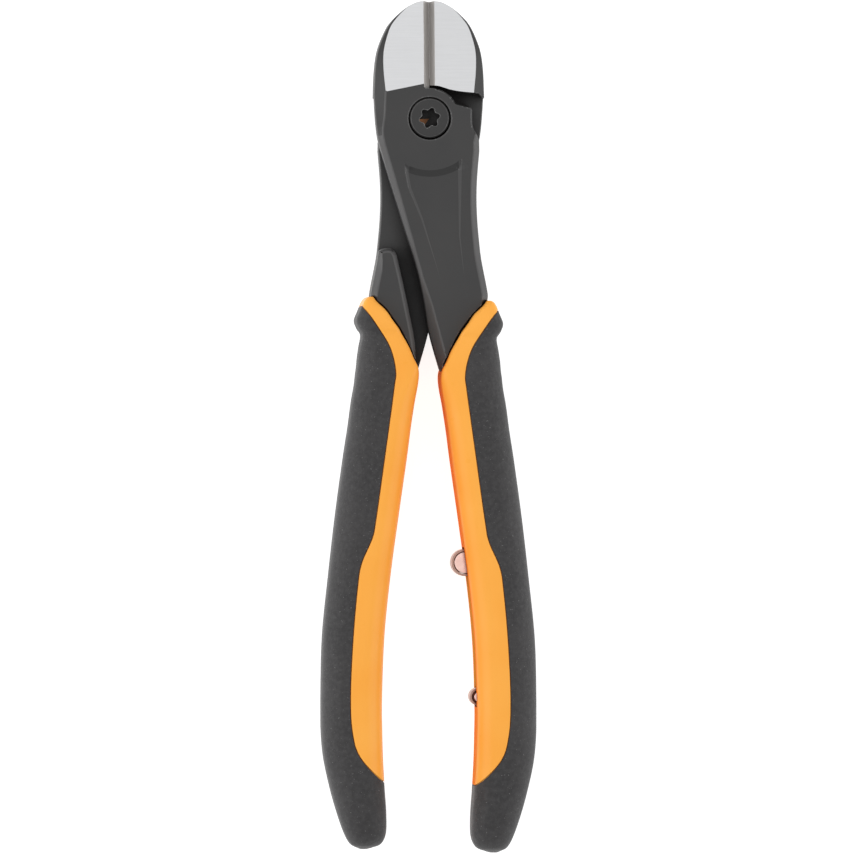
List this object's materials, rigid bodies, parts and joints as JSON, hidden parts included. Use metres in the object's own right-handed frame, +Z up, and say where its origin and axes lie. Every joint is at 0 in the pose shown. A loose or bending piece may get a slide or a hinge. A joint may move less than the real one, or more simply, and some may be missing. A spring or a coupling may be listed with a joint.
{
  "type": "diagonal cutting pliers",
  "caption": "Diagonal cutting pliers with a screwed lap joint, black forged head, bright ground jaws, two-material grips and a return spring folded into one grip.",
  "frame": {"origin": "centre of the bounding box at the face the tool lies on, with the pivot on the Y axis", "axes": "+Y towards the jaw tips, +X towards the right handle, +Z up out of the front face"},
  "size_m": [0.0506, 0.2, 0.019],
  "materials": {
    "forged_steel": "black oxide over forged steel, jaw faces ground bright with a fine cross grain",
    "screw_steel": "turned and black oxidised, satin",
    "orange_core": "smooth moulded orange plastic, semi-gloss",
    "soft_cover": "fine-textured soft thermoplastic rubber, matt",
    "coppered_spring": "copper-plated spring strip, satin",
    "coppered_pin": "copper-plated turned steel"
  },
  "bodies": {
    "rear": {"rear_half": "forged_steel", "pivot_screw": "screw_steel", "left_grip_core": "orange_core", "left_grip_cover": "soft_cover"},
    "front": {"front_half": "forged_steel", "right_grip_core": "orange_core", "right_grip_cover": "soft_cover", "spring_pin": "coppered_pin"},
    "spring": {"return_spring": "coppered_spring", "spring_roller": "coppered_pin"}
  },
  "joints": [
    {"name": "pivot", "type": "hinge", "parent": "rear", "child": "front", "pos_m": [0, 0.07235, 0.0095], "axis": [0, 0, 1], "range_deg": [0, 21]},
    {"name": "spring_fold", "type": "hinge", "parent": "front", "child": "spring", "pos_m": [0.0116, -0.06335, 0.0095], "axis": [0, 0, 1], "range_deg": [0, 25]}
  ]
}
